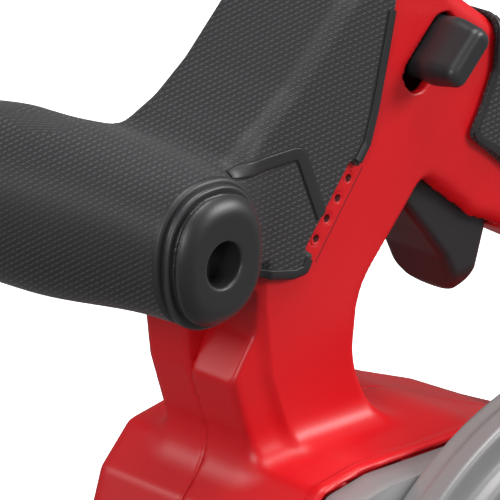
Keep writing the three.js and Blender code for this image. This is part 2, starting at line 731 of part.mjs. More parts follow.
depthCarriage();

// ---- Shoe, bevel clamp and depth clamp -------------------------------------------------------------
const QUADRANT = { x0: -117.6, x1: -114.8 };
const REAR_EAR = { x0: 112.3, x1: 115.1 };
const BEVEL_MAX = 45;

function shoeAndPins() {
  const plate = alongZ(
    [
      [SHOE.front, SHOE.near, 12],
      [SHOE.rear, SHOE.near, 10],
      [SHOE.rear, SHOE.far, 10],
      [SHOE.front, SHOE.far, 24],
    ],
    0,
    SHOE.thick,
    5,
  );
  const bladeSlot = box(-91, 96, PIVOT.y - 12, PIVOT.y + 16, -2, 8);
  const sightNotch = alongZ([[-150, -59, 0], [-132, -57.2, 0], [-132, -54.8, 0], [-150, -53, 0]], -2, 8);
  const arc = new THREE.Shape().absarc(PIVOT.y, PIVOT.z, SWING_R + 9, deg(48), deg(122), false);
  arc.lineTo(PIVOT.y - 20, 1);
  arc.lineTo(PIVOT.y + 26, 1);
  const track = new THREE.Shape().absarc(PIVOT.y, PIVOT.z, SWING_R + 3.4, deg(54), deg(60 + BEVEL_MAX + 6), false);
  track.absarc(PIVOT.y, PIVOT.z, SWING_R - 3.4, deg(60 + BEVEL_MAX + 6), deg(54), true);
  const window = alongX([[-66, 16, 4], [-44, 16, 4], [-50, 34, 6], [-62, 34, 6]], -120, -112);
  const openings = alongX(track, -120, -112, 10).add(window);
  const quadrant = alongX(arc, QUADRANT.x0, QUADRANT.x1, 10).subtract(openings);
  const rearEar = alongX([[-68, 1, 0], [-44, 1, 0], [-50, 15, 5], [-62, 15, 5]], REAR_EAR.x0, REAR_EAR.x1);
  const pinHoles = barX(2.4, -130, 130, PIVOT.y, PIVOT.z, 16);
  const fenceHole = barZ(2.4, -2, 8, -128, -20, 14);
  const shoe = joined(plate, quadrant, rearEar).subtract(joined(bladeSlot, sightNotch, pinHoles, fenceHole));
  add("shoe", shoe, finish("#a9abad", 0.45, 0.9));
  const pin = (x0, x1, headAt) =>
    barX(2.1, x0, x1, PIVOT.y, PIVOT.z, 16).add(barX(3.6, headAt, headAt + 1.6, PIVOT.y, PIVOT.z, 16));
  add("bevel_pin_front", pin(-119, -110.4, -119.6), DARK_STEEL);
  add("bevel_pin_rear", pin(107.6, 116.6, 115.5), DARK_STEEL);
}
shoeAndPins();

function bevelClamp() {
  const bolt = joined(
    barX(2.9, -121, -109, boltY, boltZ, 16),
    barX(6, -111.2, -108, boltY, boltZ, 6),
    barX(6, -119.4, -118, boltY, boltZ, 20),
  );
  add("bevel_bolt", bolt, DARK_STEEL);
  const arm = [[boltY, boltZ - 6, 0], [boltY + 34, boltZ - 3, 3], [boltY + 34, boltZ + 4, 3], [boltY, boltZ + 6, 0]];
  const lever = alongX(arm, -125, -121.3).add(barX(7.5, -127, -119.7, boltY, boltZ, 24));
  add("bevel_lever", lever.subtract(barX(3.2, -122, -119, boltY, boltZ, 16)), BLACK);
}
bevelClamp();

function depthClampAndFence() {
  const { x, z } = DEPTH_BOLT;
  const bolt = joined(bar(2.9, -52.5, -40, DEPTH_BOLT, 16), bar(5.6, -41.9, -39.4, DEPTH_BOLT, 6));
  add("depth_bolt", bolt, DARK_STEEL);
  const arm = alongY([[x, z - 6, 0], [x + 32, z + 4, 3], [x + 31, z + 12, 3], [x, z + 6, 0]], -57, -53);
  const lever = arm.add(bar(7.5, -58.5, -50, DEPTH_BOLT, 24)).subtract(bar(3.2, -53, -49, DEPTH_BOLT, 16));
  add("depth_lever", lever, BLACK);
  const wing = alongX([[-29, 9, 4], [-11, 9, 4], [-13, 19, 4], [-20, 15, 2], [-27, 19, 4]], -129.6, -126.4);
  const screw = joined(wing, barZ(4.5, 3.3, 12, -128, -20), barZ(2.1, 0.6, 4, -128, -20, 14));
  add("fence_screw", screw, DARK_STEEL);
}
depthClampAndFence();

// ---- Battery and its foot ----------------------------------------------------------------------------

function battery() {
  const { front, rear, half, low, high } = BATTERY;
  const side = (d) => [
    [-half + d, low + d, 10],
    [half - d, low + d, 10],
    [half - d, 104, 0],
    [-half + d, 104, 0],
  ];
  const room = alongX(side(WALL).map(([y, z, r]) => [y, z === 104 ? 110 : z, r]), front + WALL, rear - WALL, 5);
  add("battery_case", alongX(side(0), front, rear, 5).subtract(room), BLACK);
  const cells = Array.from({ length: 10 }, (_, i) =>
    barZ(9.2, low + 6, low + 40, front + 16 + 19.2 * (i % 5), i < 5 ? -10.5 : 10.5, 14),
  );
  const tray = box(front + 8, rear - 8, -19, 19, low + 5, low + 9);
  add("battery_cells", joined(tray, ...cells), finish("#2f6f8f", 0.5));
  const deck = alongX([[-half, 104.3, 0], [half, 104.3, 0], [half, high, 5], [-half, high, 5]], front, rear, 5);
  const under = box(front + WALL, rear - WALL, -half + WALL, half - WALL, 100, high - WALL);
  const neck = box(68, 136, -9, 9, high - 1, 125);
  const head = box(68, 136, -14, 14, 124.4, 130);
  const recess = joined(box(76, 100, -40, -33.5, 106.5, 115.5), box(76, 100, 33.5, 40, 106.5, 115.5));
  const button = box(157, 170, -6, 6, 108, 114);
  const lid = joined(deck.subtract(under), neck, head).subtract(recess).subtract(button);
  add("battery_lid", lid, BLACK);
  const latch = (y0, y1) => box(76.4, 99.6, y0, y1, 106.9, 115.1);
  add("latch_left", latch(-39, -32), RED);
  add("latch_right", latch(32, 39), RED);
  add("charge_button", box(156, 163, -5.6, 5.6, 108.4, 113.6), RUBBER);
}
battery();

function batteryRailAndKey() {
  const block = box(64.4, 138, -20, 20, 119.6, 133.9);
  const channel = joined(box(63, 137, -14.4, 14.4, 124, 130.4), box(63, 145, -9.4, 9.4, 119, 125));
  add("battery_rail", block.subtract(channel.add(box(130, 145, -14.4, 14.4, 124, 130.4))), BLACK);
  const clip = alongX([[34.3, 139, 1], [43, 139, 2], [43, 149, 2], [34.3, 149, 1]], 96, 116);
  add("key_clip", clip.subtract(barX(2.9, 90, 120, 38.6, 144, 12)), RUBBER);
  const key = barX(2.4, 84, 146, 38.6, 144, 6).add(barZ(2.4, 141.8, 166, 143.8, 38.6, 6));
  add("hex_key", key, DARK_STEEL);
}
batteryRailAndKey();

add("lamp_lens", barX(4.7, -89, -82.6, LAMP.y, LAMP.z, 20), LENS);

export default saw;
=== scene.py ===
# %% [markdown]
# A battery circular saw, dressed over its imported CAD model. The CAD holds every moving and
# fastening piece. Here the moulded shells, the soft grips and the fixed guard are modelled again with
# the roundings and parting lines that moulding and casting leave, and every piece gets a finish.

# %% The frame and its sizes
import json
import math

import bpy
import numpy as np
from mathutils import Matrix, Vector

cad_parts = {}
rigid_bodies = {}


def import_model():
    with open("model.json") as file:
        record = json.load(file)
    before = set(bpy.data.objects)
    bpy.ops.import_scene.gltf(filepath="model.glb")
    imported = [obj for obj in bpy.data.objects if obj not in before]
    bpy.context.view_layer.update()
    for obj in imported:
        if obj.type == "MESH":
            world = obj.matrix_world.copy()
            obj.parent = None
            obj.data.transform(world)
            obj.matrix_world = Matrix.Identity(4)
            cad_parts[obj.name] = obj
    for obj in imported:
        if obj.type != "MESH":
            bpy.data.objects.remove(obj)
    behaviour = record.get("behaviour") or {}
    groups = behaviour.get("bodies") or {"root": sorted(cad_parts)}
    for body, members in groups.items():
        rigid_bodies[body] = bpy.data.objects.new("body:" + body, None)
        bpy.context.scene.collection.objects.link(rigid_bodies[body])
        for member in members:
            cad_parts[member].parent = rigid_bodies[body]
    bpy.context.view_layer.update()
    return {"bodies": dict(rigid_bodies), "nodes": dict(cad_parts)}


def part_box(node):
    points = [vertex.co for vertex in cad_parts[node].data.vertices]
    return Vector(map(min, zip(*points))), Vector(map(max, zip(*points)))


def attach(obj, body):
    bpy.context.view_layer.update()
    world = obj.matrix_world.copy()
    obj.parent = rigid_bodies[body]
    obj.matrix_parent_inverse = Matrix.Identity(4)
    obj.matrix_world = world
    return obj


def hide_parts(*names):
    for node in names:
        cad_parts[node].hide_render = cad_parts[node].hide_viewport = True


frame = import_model()
nodes = frame["nodes"]


def extent(node):
    """A CAD node's box in millimetres: lowest corner, highest corner and middle."""
    low, high = (np.array(corner) * 1000 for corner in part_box(node))
    return low, high, (low + high) / 2


ARBOR = extent("saw_blade")[2]
MOTOR = extent("motor_stator")[2]
SKIN_MM = 1.6  # how thick the soft skin is on the handle
HANDLE_HALF = extent("rear_grip")[1][1] - SKIN_MM
SIDES = (-1, "left"), (1, "right")
print("arbor at", ARBOR.round(1), "motor at", MOTOR.round(1), "half handle", round(HANDLE_HALF, 1))

# %% [markdown]
# Colours are written as the hex values a paint chart would give. Blender works in linear light,
# so one function turns them. Another adds a shader node, sets its properties and inputs, and gives
# back one of its outputs, so that a material reads as a short chain of named results.

# %% Colour and node helpers


def linear(code):
    """An sRGB hex colour as linear RGBA."""
    parts = [int(code[i : i + 2], 16) / 255 for i in (1, 3, 5)]
    return [c / 12.92 if c <= 0.04045 else ((c + 0.055) / 1.055) ** 2.4 for c in parts] + [1]


def add(tree, kind, inputs=None, out=0, **settings):
    """A new shader node's output, with the node's inputs set to values or linked to sockets."""
    node = tree.nodes.new("ShaderNode" + kind)
    for name, value in settings.items():
        setattr(node, name, value)
    for key, value in (inputs or {}).items():
        if isinstance(value, bpy.types.NodeSocket):
            tree.links.new(value, node.inputs[key])
        else:
            node.inputs[key].default_value = value
    return node.outputs[out]


def material(name, **surface):
    """A material whose shader sockets are set from words such as Base_Color."""
    made = bpy.data.materials.new(name)
    made.use_nodes = True
    shader = made.node_tree.nodes["Principled BSDF"]
    for key, value in surface.items():
        shader.inputs[key.replace("_", " ")].default_value = value
    return made, made.node_tree, shader


def wire(tree, shader, **sockets):
    """Outputs linked to the shader's sockets, which are named in the same way."""
    for key, socket in sockets.items():
        tree.links.new(socket, shader.inputs[key.replace("_", " ")])


print("mid grey in linear light:", round(linear("#808080")[0], 3))

# %% [markdown]
# Moulded plastic is never perfectly even. The tool is spark-eroded or sanded, which leaves a fine
# grain, and handling leaves duller and shinier patches. To the eye that is a soft, slightly broken
# gloss. Both are noise in object space, one at half a millimetre and one at about three
# centimetres: it needs no unwrapping, as an image would. Corners that get rubbed are a little
# lighter, which a pointiness mask gives.

# %% Moulded plastics
GRAIN_MM = 0.5


def moulded(name, colour, roughness, wear="#ffffff", wear_amount=0.06):
    """A moulded plastic: tool grain, uneven gloss, and rubbed corners."""
    made, tree, shader = material(name, IOR=1.5)
    place = add(tree, "TexCoord", out="Object")
    fine = add(tree, "TexNoise", {"Vector": place, "Scale": 1000 / GRAIN_MM, "Detail": 2})
    broad = add(tree, "TexNoise", {"Vector": place, "Scale": 30, "Detail": 3})
    gloss = add(tree, "Math", {0: broad, 1: 0.10, 2: roughness - 0.05}, operation="MULTIPLY_ADD")
    edge = add(tree, "NewGeometry", out="Pointiness")
    mask = add(tree, "MapRange", {0: edge, 1: 0.51, 2: 0.60, 3: 0.0, 4: wear_amount})
    tint = add(tree, "Mix", {0: mask, 6: linear(colour), 7: linear(wear)}, 2, data_type="RGBA")
    bump = add(tree, "Bump", {"Height": fine, "Strength": 0.10, "Distance": 0.0002})
    wire(tree, shader, Base_Color=tint, Roughness=gloss, Normal=bump)
    return made


RED_NYLON = moulded("moulded_red_nylon", "#cf0b16", 0.40, wear="#f04048", wear_amount=0.03)
# This darker red is painted shade, used in the dimples' pockets and along the red strip's edge.
RED_PAINTED_SHADE = moulded("red_nylon_painted_shade", "#64060b", 0.60, wear="#f04048", wear_amount=0.0)
BLACK_NYLON = moulded("moulded_black_nylon", "#262628", 0.40, wear="#8a8a8c", wear_amount=0.18)
SMOOTH_TPE = moulded("smooth_soft_elastomer", "#222224", 0.46, wear="#77777a", wear_amount=0.15)
print("moulded plastics:", RED_NYLON.name, BLACK_NYLON.name, SMOOTH_TPE.name)

# %% [markdown]
# The soft grips are a thermoplastic elastomer moulded over the nylon. The tool's face is engraved
# with short parallel dashes, about 1.2 mm from row to row, so that a glove holds. They could be
# modelled, but there are thousands, so the material draws them, paler and a little raised. They are
# worked out from the position along two directions, and every other row is shifted by half a step.
# Where a face looks straight along the rows' direction a second pair of directions takes over.

# %% Textured elastomer
ROW_MM, DASH_MM = 1.2, 1.5
SIDE_ROWS = Vector((-0.071, 0.526, 0.847)), Vector((0.747, -0.534, 0.395))
FRONT_ROWS = Vector((0.82, 0.30, -0.49)), Vector((0.10, 0.85, 0.51))
TOO_STEEP = 0.86  # past this slope along the side rows' direction, the front rows take over


def dashes(tree, place, rows):
    """1 on the raised dashes and 0 between them."""
    across, along = (
        add(tree, "VectorMath", {0: place, 1: way.normalized() * 1000}, "Value", operation="DOT_PRODUCT")
        for way in rows
    )
    row = add(tree, "Math", {0: across, 1: ROW_MM}, operation="DIVIDE")
    number = add(tree, "Math", {0: row}, operation="FLOOR")
    shift = add(tree, "Math", {0: number, 1: 0.5}, operation="MULTIPLY")
    dash = add(tree, "Math", {0: along, 1: 1 / DASH_MM, 2: shift}, operation="MULTIPLY_ADD")
    fades = []
    for value, full, gone in ((row, 0.07, 0.17), (dash, 0.30, 0.40)):
        part = add(tree, "Math", {0: value}, operation="FRACT")
        centred = add(tree, "Math", {0: part, 1: 0.5}, operation="SUBTRACT")
        off = add(tree, "Math", {0: centred}, operation="ABSOLUTE")
        fades.append(add(tree, "MapRange", {0: off, 1: full, 2: gone, 3: 1.0, 4: 0.0}))
    return add(tree, "Math", {0: fades[0], 1: fades[1]}, operation="MULTIPLY")


def textured_elastomer():
    """Soft grip with its engraved dashes raised and slightly shinier than the ground."""
    made, tree, shader = material("textured_soft_elastomer", IOR=1.5, Sheen_Weight=0.08,
                                  Sheen_Roughness=0.4)
    place = add(tree, "TexCoord", out="Object")
    normal = add(tree, "NewGeometry", out="Normal")
    side, front = dashes(tree, place, SIDE_ROWS), dashes(tree, place, FRONT_ROWS)
    slope = add(tree, "VectorMath", {0: normal, 1: SIDE_ROWS[0]}, "Value", operation="DOT_PRODUCT")
    steep = add(tree, "Math", {0: slope}, operation="ABSOLUTE")
    use_front = add(tree, "Math", {0: steep, 1: TOO_STEEP}, operation="GREATER_THAN")
    marks = add(tree, "Mix", {0: use_front, 2: side, 3: front})
    tint = add(tree, "Mix", {0: marks, 6: linear("#232325"), 7: linear("#48484b")}, 2, data_type="RGBA")
    gloss = add(tree, "MapRange", {0: marks, 3: 0.60, 4: 0.44})
    bump = add(tree, "Bump", {"Height": marks, "Strength": 0.9, "Distance": 0.0002})
    wire(tree, shader, Base_Color=tint, Roughness=gloss, Normal=bump)
    return made


TEXTURED_TPE = textured_elastomer()
print("rows", ROW_MM, "mm apart, dashes", DASH_MM, "mm from start to start")

# %% [markdown]
# The guards and the gear case are die-cast magnesium under a satin grey powder coat, which has a
# soft orange peel of a millimetre or so. The blade and the posts are ground steel with fine lines
# along the grinding, so their shine is drawn out across the lines. Screws are blackened steel,
# which stays dull, and the shoe is anodised aluminium, pale and satin. A metal needs no tint on
# its highlight: the shader takes it from the base colour.

# %% Metals and the small parts' finishes


def powder_coat(name, colour):
    """Cast metal under a powder coat with a soft orange peel."""
    made, tree, shader = material(name, Metallic=0.25, IOR=1.5)
    place = add(tree, "TexCoord", out="Object")
    peel = add(tree, "TexNoise", {"Vector": place, "Scale": 900, "Detail": 2})
    broad = add(tree, "TexNoise", {"Vector": place, "Scale": 25, "Detail": 3})
    tint = add(tree, "Mix", {0: broad, 6: linear(colour), 7: linear("#9b9a9a")}, 2, data_type="RGBA")
    gloss = add(tree, "Math", {0: broad, 1: 0.12, 2: 0.36}, operation="MULTIPLY_ADD")
    bump = add(tree, "Bump", {"Height": peel, "Strength": 0.08, "Distance": 0.0002})
    wire(tree, shader, Base_Color=tint, Roughness=gloss, Normal=bump)
    return made


def ground_metal(name, colour, roughness, stretch=(1, 1, 1), line_mm=0.3):
    """Metal with fine lines left by grinding, longest along the axis whose stretch is least."""
    made, tree, shader = material(name, Metallic=1.0)
    place = add(tree, "TexCoord", out="Object")
    turned = add(tree, "Mapping", {"Vector": place, "Scale": stretch})
    lines = add(tree, "TexNoise", {"Vector": turned, "Scale": 1000 / line_mm, "Detail": 3})
    dark = [c * 0.72 for c in linear(colour)[:3]] + [1]
    tint = add(tree, "Mix", {0: lines, 6: dark, 7: linear(colour)}, 2, data_type="RGBA")
    gloss = add(tree, "MapRange", {0: lines, 3: roughness - 0.06, 4: roughness + 0.10})
    bump = add(tree, "Bump", {"Height": lines, "Strength": 0.12, "Distance": 0.0001})
    wire(tree, shader, Base_Color=tint, Roughness=gloss, Normal=bump)
    return made


CAST_GREY = powder_coat("powder_coated_magnesium", "#858384")
BRIGHT_STEEL = ground_metal("ground_steel", "#c9cacc", 0.28, stretch=(0.06, 1, 1))
TURNED_STEEL = ground_metal("turned_steel", "#b4b5b8", 0.24, stretch=(1, 0.05, 1))
BLACK_STEEL = ground_metal("blackened_steel", "#3a3b3e", 0.38)
ANODISED = ground_metal("anodised_aluminium", "#b3b6b9", 0.50, stretch=(0.05, 1, 1), line_mm=0.5)
# The motor's wire has a glossy varnish over copper, and the cells are in glossy shrunk sleeves.
COPPER_WIRE = ground_metal("varnished_copper_wire", "#b5683a", 0.30, stretch=(1, 0.1, 1), line_mm=0.8)
SOLDER_MASK = moulded("solder_mask", "#14532c", 0.30, wear="#7fae8c")
CELL_SLEEVE = moulded("shrink_sleeve", "#2b6c93", 0.28, wear="#a9cfe3")
# The lamp's lens is clear and polished, a little less than fully clear so that its edge shows.
LENS = material("moulded_polycarbonate", Base_Color=linear("#eef4f8"), Roughness=0.08, IOR=1.58,
                Transmission_Weight=0.75)[0]
print("materials:", len(bpy.data.materials))

# %% [markdown]
# A moulded shape could be built from boxes with bevels, or cut with booleans, but its parts flow
# into each other with fillets that both do badly. Here each one is written as a distance field: a
# function that says how far a place is from the surface, below zero inside. Such fields are easy
# to round, to blend and to hollow out. This cell has the parts they are built from. All of it is
# in millimetres.

# %% Distance fields


def rounded_outline(corners, steps=6):
    """Corners [x, z, radius] as the points of an outline with its corners rounded."""
    points = []
    for i, (x, z, radius) in enumerate(corners):
        here = np.array((x, z), float)
        before = np.array(corners[i - 1][:2]) - here
        after = np.array(corners[(i + 1) % len(corners)][:2]) - here
        back, on = np.linalg.norm(before), np.linalg.norm(after)
        half = math.acos(max(-1.0, min(1.0, before @ after / back / on))) / 2
        reach = min(radius / math.tan(half), 0.49 * back, 0.49 * on)
        if reach < 0.3:
            points.append(here)
            continue
        start, end = here + before / back * reach, here + after / on * reach
        for t in np.linspace(0, 1, steps + 1):
            points.append((1 - t) ** 2 * start + 2 * t * (1 - t) * here + t * t * end)
    return np.array(points)


def from_outline(points, x, z):
    """Distance from a closed outline in the plane of x and z, below zero inside."""
    nearest = np.full(np.broadcast(x, z).shape, np.inf)
    inside = np.zeros(nearest.shape, bool)
    for (ax, az), (bx, bz) in zip(points, np.roll(points, -1, axis=0)):
        dx, dz = bx - ax, bz - az
        t = np.clip(((x - ax) * dx + (z - az) * dz) / (dx * dx + dz * dz), 0, 1)
        nearest = np.minimum(nearest, (x - ax - t * dx) ** 2 + (z - az - t * dz) ** 2)
        if dz:
            inside ^= ((az > z) != (bz > z)) & (x < ax + (z - az) * dx / dz)
    return np.where(inside, -1, 1) * np.sqrt(nearest)


def meet(a, b, rounding):
    """Where two fields overlap, with the edge between them rounded."""
    a, b = a + rounding, b + rounding
    return np.minimum(np.maximum(a, b), 0) + np.hypot(np.maximum(a, 0), np.maximum(b, 0)) - rounding


def fuse(a, b, reach):
    """Two fields joined, with a fillet that reaches about this far."""
    near = np.maximum(reach - np.abs(a - b), 0) / reach
    return np.minimum(a, b) - near * near * reach / 4


def slab(plan, y, low, high, rounding):
    """A plan distance made into a slab from y low to y high."""
    return meet(plan, np.abs(y - (low + high) / 2) - (high - low) / 2, rounding)


def ease(start, end, value):
    """0 before start, 1 after end, and smooth between."""
    t = np.clip((value - start) / (end - start), 0, 1)
    return t * t * (3 - 2 * t)


triangle = rounded_outline([(0, 0, 2), (9, 0, 2), (0, 9, 2)])
print("a triangle with rounded corners has", len(triangle), "points")

# %% [markdown]
# A field becomes a mesh with surface nets: each grid cell that the surface passes through gets one
# point, the points of neighbouring cells are joined by quads, and each point is then drawn onto
# the exact surface by following the field's slope. That keeps flat faces flat and edges tight.

# %% Fields to meshes


def net(value):
    """Surface nets on a grid of distances: points in grid steps, and quads."""
    inside = value < 0
    size = np.array(value.shape) - 1
    corners = [(i, j, k) for i in (0, 1) for j in (0, 1) for k in (0, 1)]
    held = sum(inside[i : i + size[0], j : j + size[1], k : k + size[2]].astype(np.int8)
               for i, j, k in corners)
    cells = np.argwhere((held > 0) & (held < 8))
    index = np.full(size, -1, np.int32)
    index[tuple(cells.T)] = np.arange(len(cells))
    total, hits = np.zeros((len(cells), 3)), np.zeros(len(cells))
    for corner in corners:
        for axis in range(3):
            if corner[axis]:
                continue
            step = np.eye(3, dtype=int)[axis]
            a, b = (value[tuple((cells + c).T)] for c in (np.array(corner), corner + step))
            cut = (a < 0) != (b < 0)
            t = a[cut] / (a[cut] - b[cut])
            total[cut] += cells[cut] + corner + step * t[:, None]
            hits[cut] += 1
    quads = []
    for axis in range(3):
        first = [slice(1, -1)] * 3
        last = list(first)
        first[axis], last[axis] = slice(0, -1), slice(1, None)
        a, b = inside[tuple(first)], inside[tuple(last)]
        spots = np.argwhere(a != b)
        solid = a[tuple(spots.T)]
        spots += 1 - np.eye(3, dtype=int)[axis]
        u, w = np.eye(3, dtype=int)[(axis + 1) % 3], np.eye(3, dtype=int)[(axis + 2) % 3]
        ring = np.stack([index[tuple((spots - s).T)] for s in (0 * u, u, u + w, w)], axis=1)
        ring[~solid] = ring[~solid, ::-1]
        quads.append(ring)
    return total / hits[:, None], np.concatenate(quads)


def slope_at(field, spots):
    """A field's value at some points, and its slope along x, y and z."""
    here, step = field(*spots.T), 0.05
    return here, np.stack([(field(*(spots + d).T) - here) / step for d in np.eye(3) * step], axis=1)


def draw_on(field, spots, cell):
    """The points moved along the field's slope onto its surface."""
    for _ in range(2):
        here, slope = slope_at(field, spots)
        size = np.maximum((slope**2).sum(1), 0.25)
        move = -(here / size)[:, None] * slope
        spots = spots + np.clip(move, -0.4 * cell, 0.4 * cell)
    return spots


def mesh_object(name, points_mm, quads, finishes, zones=None):
    """A smooth-shaded object in the scene. Zones gives each quad's finish as an index."""
    mesh = bpy.data.meshes.new(name)
    mesh.from_pydata((np.asarray(points_mm) / 1000).tolist(), [], np.asarray(quads).tolist())
    mesh.polygons.foreach_set("use_smooth", [True] * len(quads))
    for finish in finishes:
        mesh.materials.append(finish)
    if zones is not None:
        mesh.polygons.foreach_set("material_index", np.asarray(zones, np.int32))
    mesh.update()
    made = bpy.data.objects.new(name, mesh)
    bpy.context.scene.collection.objects.link(made)
    return made


def skin(name, node, field, low, high, cell, finishes, zones=None):
    """A field as a mesh object that stands for a CAD node and rides on its body."""
    cell = cell * 1
    axes = [np.arange(a - 2 * cell, b + 2.5 * cell, cell) for a, b in zip(low, high)]
    grid = np.meshgrid(*axes, indexing="ij", sparse=True)
    value = np.broadcast_to(field(*grid), [len(a) for a in axes])
    spots, quads = net(value)
    spots = draw_on(field, spots * cell + [a[0] for a in axes], cell)
    by_quad = zones(*spots[quads].mean(axis=1).T) if zones else None
    piece = mesh_object(name, spots, quads, finishes, by_quad)
    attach(piece, next(b for b, empty in frame["bodies"].items() if nodes[node].parent == empty))
    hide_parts(node)
    print(f"{name}: {len(spots)} points, {len(quads)} quads")


# %% [markdown]
# The red body is two nylon shells that meet on the saw's middle plane. Its outlines from the side
# are those of the CAD shells. Each corner has its own radius, because a moulding's corners differ,
# and the grips' and the trigger's outlines are kept beside them, since they have to fit.

# %% Outlines from the side
SPINE_X, CREASE_Z = -83.2, 190.5  # where the column's spine begins to lean back
BODY = rounded_outline(
    [(-90, 146, 8), (-86.5, 156.5, 4), (-76, 167, 5), (-62, 169, 10), (-16, 167, 30), (8, 156, 4),
     (27, 148.3, 3), (47, 138, 3), (62, 131, 4), (62, 124, 4), (42, 116, 6), (38, 84, 12), (20, 68, 14),
     (-44, 68, 16), (-82, 92, 20)]
)
HANDLE = rounded_outline(
    [(-68.5, 150, 0), (-79, 177, 4), (SPINE_X, CREASE_Z, 0), (-85.4, 209, 3), (-84, 219, 0),
     (-83, 252, 10), (-66, 264, 14), (-44, 285, 20), (-22, 288, 26), (84, 208, 34), (112, 176, 16),
     (138, 168, 8), (140, 134.3, 3), (50, 134.3, 0), (30, 128, 0)]
)
OPENING = rounded_outline(
    [(-28, 156, 0), (-42.6, 186, 22), (-40.5, 205, 20), (-17, 229.5, 5), (4.5, 211, 3), (10, 208.8, 3),
     (38, 193, 10), (60, 180.5, 16), (66, 154, 14), (58, 126, 0)]
)
FOOT = rounded_outline([(74, 134.3, 1), (142, 134.3, 2), (142, 146, 6), (126, 149, 6), (74, 146, 6)])
TRIGGER = rounded_outline(
    [(-21, 232, 2), (-17.5, 220, 4), (-9.5, 210.5, 14), (-2, 201, 12), (3.2, 190.5, 3), (6.5, 187.5, 2.5),
     (10.5, 195, 8), (14, 206, 6), (14.2, 215, 4), (12, 226, 2), (-8, 242, 4), (-21, 242, 5)]
)
FRONT_SKIN = rounded_outline(
    [(-95, 219, 4), (-78, 218.3, 3), (-66, 215.3, 3), (-61, 215.5, 2), (-59, 219.8, 0.5),
     (-61.8, 221.9, 0.5), (-45.8, 241.1, 0.5), (-43, 238.6, 0.5), (-39, 244, 2), (-36.3, 252, 4),
     (-33.3, 264, 6), (-29.8, 279, 4), (-31, 300, 2), (-60, 300, 2), (-95, 300, 2)]
)
REAR_SKIN = rounded_outline(
    [(-1.3, 236, 3), (3, 243, 3), (7, 252, 3), (8.2, 271, 2), (12, 300, 0), (140, 300, 0),
     (116, 180, 10), (96, 170, 8), (60, 188, 12), (9, 228, 6)]
)
print("corner points:", sum(len(line) for line in (BODY, HANDLE, OPENING, FOOT, TRIGGER)))

# %% [markdown]
# What the body has to fit around is read from the CAD, so that the two agree: the motor, the
# screws, the trigger's pin, the lock-off lever and the spindle lock's button.

# %% What the body fits around
BODY_NEAR, BODY_FAR = extent("left_shell")[0][1], 31.5
FOOT_HALF = 34  # half the battery foot's width
MOTOR_R, WALL = extent("motor_end_cover")[1][0] - MOTOR[0], 2.5
OVERLAP = 0.25  # the two shells' meshes run this far past the plane where they meet
LOCK_SLOPE = math.radians(43)
LOCK_AT = extent("lock_off_lever")[2]
TRIGGER_PIN = extent("trigger_pin")[2]
TRIGGER_TURNS = 0, 4.5, 9  # degrees of swing that its room in the shells allows for
SCREWS = [extent(f"shell_screw_{i}")[2] for i in (1, 2, 3)]
BUTTON_LOW, _, BUTTON = extent("spindle_lock_button")
DIMPLES = [(-45.3 - 3.8 * i, 236.1 - 4.35 * i) for i in range(4)]  # beside the front grip's border


def turned_about_pin(x, z, degrees):
    """Places turned back about the trigger's pin."""
    a = math.radians(degrees)
    dx, dz = x - TRIGGER_PIN[0], z - TRIGGER_PIN[2]
    return (TRIGGER_PIN[0] + dx * math.cos(a) + dz * math.sin(a),
            TRIGGER_PIN[2] - dx * math.sin(a) + dz * math.cos(a))


def lock_plan(x, z, long, thick):
    """Distance from the lock-off lever's slanted outline, with corners rounded."""
    dx, dz = x - LOCK_AT[0], z - LOCK_AT[2]
    u = dx * math.cos(LOCK_SLOPE) + dz * math.sin(LOCK_SLOPE)
    w = -dx * math.sin(LOCK_SLOPE) + dz * math.cos(LOCK_SLOPE)
    return meet(np.abs(u) - long / 2, np.abs(w) - thick / 2, thick * 0.42)


print("trigger's pin at", TRIGGER_PIN.round(1), "spindle lock's button at", BUTTON.round(1))

# %% [markdown]
# The handle and the column below it are one bar of changing width. The column's front is a flat
# spine that leans back on the blade's side, and two facets run from it to the side face. Above the
# trigger the side leans in past a slanted crease.

# %% Handle and column


def handle_plan(x, z):
    """The handle's side outline with the hand's opening cut out of it."""
    return np.maximum(from_outline(HANDLE, x, z), -from_outline(OPENING, x, z))


def handle_half(x, z):
    """Half the handle's width: two facets run back from the column's front spine to its side, and
    past a slanted crease above the trigger the side leans in."""
    behind = x + 83 - 0.35 * np.clip(CREASE_Z - z, 0, None) + 0.12 * np.clip(z - CREASE_Z, 0, 20)
    first, second = 11 + 0.62 * behind, 15.1 + 0.16 * behind
    faceted = -fuse(-first, -second, 0.8)
    past_crease = np.clip((x + 17.9 - (z - 230.2)) / math.sqrt(2), 0, 24)
    side = HANDLE_HALF - 0.10 * past_crease * ease(-30, -10, x)
    return np.where(z < 222, np.clip(faceted, 4, side), side)


def handle(x, y, z, grow=0.0, rounding=2.0):
    """The handle and column, grown or shrunk by a skin. The spine leans back on the blade's side."""
    rounding = rounding + (4.6 - rounding) * ease(-24, -4, x) * ease(150, 165, z)
    whole = meet(handle_plan(x, z) - grow, np.abs(y) - handle_half(x, z) - grow, rounding)
    leaning = x - SPINE_X - 0.56 * np.clip(z - CREASE_Z, 0, 12)
    ahead = np.maximum(np.maximum(0.87 * leaning, y), z - 214)
    return meet(whole, -ahead - grow, 0.6)


print("handle's half width in its middle:", float(handle_half(0.0, 240.0)))

# %% [markdown]
# The deck, the motor's barrel and the battery's foot are joined to the column with fillets, first
# as if all were solid. Then the room inside is taken out, and screw posts, holes, and room for what
# moves are worked in: the trigger through its swing, the lock-off lever and the lock's button.

# %% Deck, barrel, foot and hollow


def barrel(x, y, z, radius, low, high):
    """A round bar along y, about the motor's axis."""
    return slab(np.hypot(x - MOTOR[0], z - MOTOR[2]) - radius, y, low, high, 1.0)


def under_grips(x, z):
    """Below zero where a soft grip covers the handle."""
    return np.minimum(from_outline(FRONT_SKIN, x, z), from_outline(REAR_SKIN, x, z)) + 0.6


